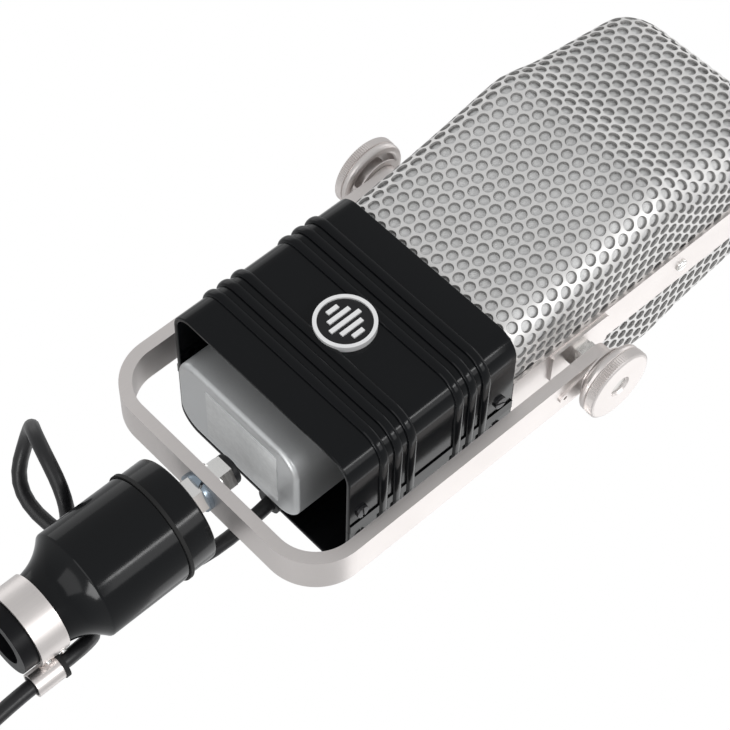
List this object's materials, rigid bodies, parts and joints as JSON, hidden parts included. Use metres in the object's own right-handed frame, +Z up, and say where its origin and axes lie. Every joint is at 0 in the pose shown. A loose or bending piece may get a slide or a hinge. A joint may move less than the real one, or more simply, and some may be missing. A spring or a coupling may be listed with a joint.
{
  "type": "ribbon microphone",
  "caption": "Large ribbon microphone: perforated metal grille over a black ribbed shell, tilting in a U yoke with knurled clamp knobs on a cushioned stand mount with a captive lead.",
  "frame": {"origin": "mouth of the stand thread at the bottom of the cushion mount, on the thread axis", "axes": "+Z up the microphone along the stand thread, front face with the badge toward -Y, tilt axis along X"},
  "size_m": [0.1418, 0.12, 0.513],
  "materials": {
    "black_enamel": "gloss black stove enamel",
    "black_metal": "gloss black paint on metal",
    "satin_nickel": "satin nickel plate",
    "bright_nickel": "bright nickel plate",
    "grille_metal": "plated perforated sheet",
    "screen_mesh": "fine woven screen",
    "blued_steel": "bluish hardened steel",
    "machined_steel": "machined steel",
    "magnet_alloy": "cast magnet alloy, ground",
    "laminations": "stacked laminations",
    "brass_metal": "machined brass",
    "copper_wire": "wound enamelled wire",
    "ribbon_foil": "corrugated foil",
    "cushion_rubber": "moulded rubber",
    "can_metal": "grey painted screening can",
    "label_stock": "printed label stock",
    "black_plastic": "moulded black plastic",
    "badge_black": "black field",
    "lead_jacket": "black satin cable jacket"
  },
  "bodies": {
    "mount": {"stand_socket": "black_metal", "mount_barrel": "black_metal", "rubber_cushion": "cushion_rubber", "mount_cap": "black_metal", "mount_stud": "machined_steel", "neck_band": "bright_nickel", "cable_clip": "satin_nickel", "clip_liner": "cushion_rubber", "clip_rivets": "bright_nickel", "lower_hex_nut": "bright_nickel", "split_lock_washer": "blued_steel", "upper_washer": "bright_nickel", "upper_hex_nut": "bright_nickel", "stud_lock_ring": "black_plastic", "yoke": "satin_nickel", "friction_plates": "satin_nickel", "lead_slack": "lead_jacket", "lead_tail": "lead_jacket", "lead_coil": "lead_jacket", "coil_ties": "black_plastic", "lead_end": "lead_jacket", "plug_boot": "cushion_rubber", "plug_shell": "satin_nickel", "plug_insert": "black_plastic", "plug_pins": "brass_metal"},
    "head": {"pivot_brackets": "satin_nickel", "pivot_inner_nuts": "bright_nickel", "pivot_outer_nuts": "bright_nickel", "pivot_washers": "satin_nickel", "pivot_studs": "machined_steel", "shell_front": "black_enamel", "shell_rear": "black_enamel", "shell_screws": "bright_nickel", "badge_rim": "bright_nickel", "badge_field": "badge_black", "badge_bars": "bright_nickel", "grille_front": "grille_metal", "grille_rear": "grille_metal", "inner_screen_front": "screen_mesh", "inner_screen_rear": "screen_mesh", "head_strap": "satin_nickel", "strap_screws": "bright_nickel", "chassis_plate": "machined_steel", "motor_frame": "brass_metal", "magnet": "magnet_alloy", "pole_piece_right": "machined_steel", "pole_piece_left": "machined_steel", "ribbon": "ribbon_foil", "ribbon_clamp_bottom": "brass_metal", "ribbon_clamp_top": "brass_metal", "transformer_can": "can_metal", "transformer_core": "laminations", "transformer_coil": "copper_wire", "can_label": "label_stock", "can_posts": "brass_metal", "cable_gland": "black_plastic", "internal_leads": "lead_jacket"},
    "knob_left": {"knob_left": "satin_nickel"},
    "knob_right": {"knob_right": "satin_nickel"}
  },
  "joints": [
    {"name": "head_tilt", "type": "hinge", "parent": "mount", "child": "head", "pos_m": [0, 0, 0.2005], "axis": [1, 0, 0], "range_deg": [-35, 35], "deforming": ["lead_slack"]},
    {"name": "left_knob_turn", "type": "hinge", "parent": "head", "child": "knob_left", "pos_m": [-0.0565, 0, 0.2005], "axis": [-1, 0, 0], "range_deg": [0, 360]},
    {"name": "right_knob_turn", "type": "hinge", "parent": "head", "child": "knob_right", "pos_m": [0.0565, 0, 0.2005], "axis": [1, 0, 0], "range_deg": [0, 360]}
  ]
}
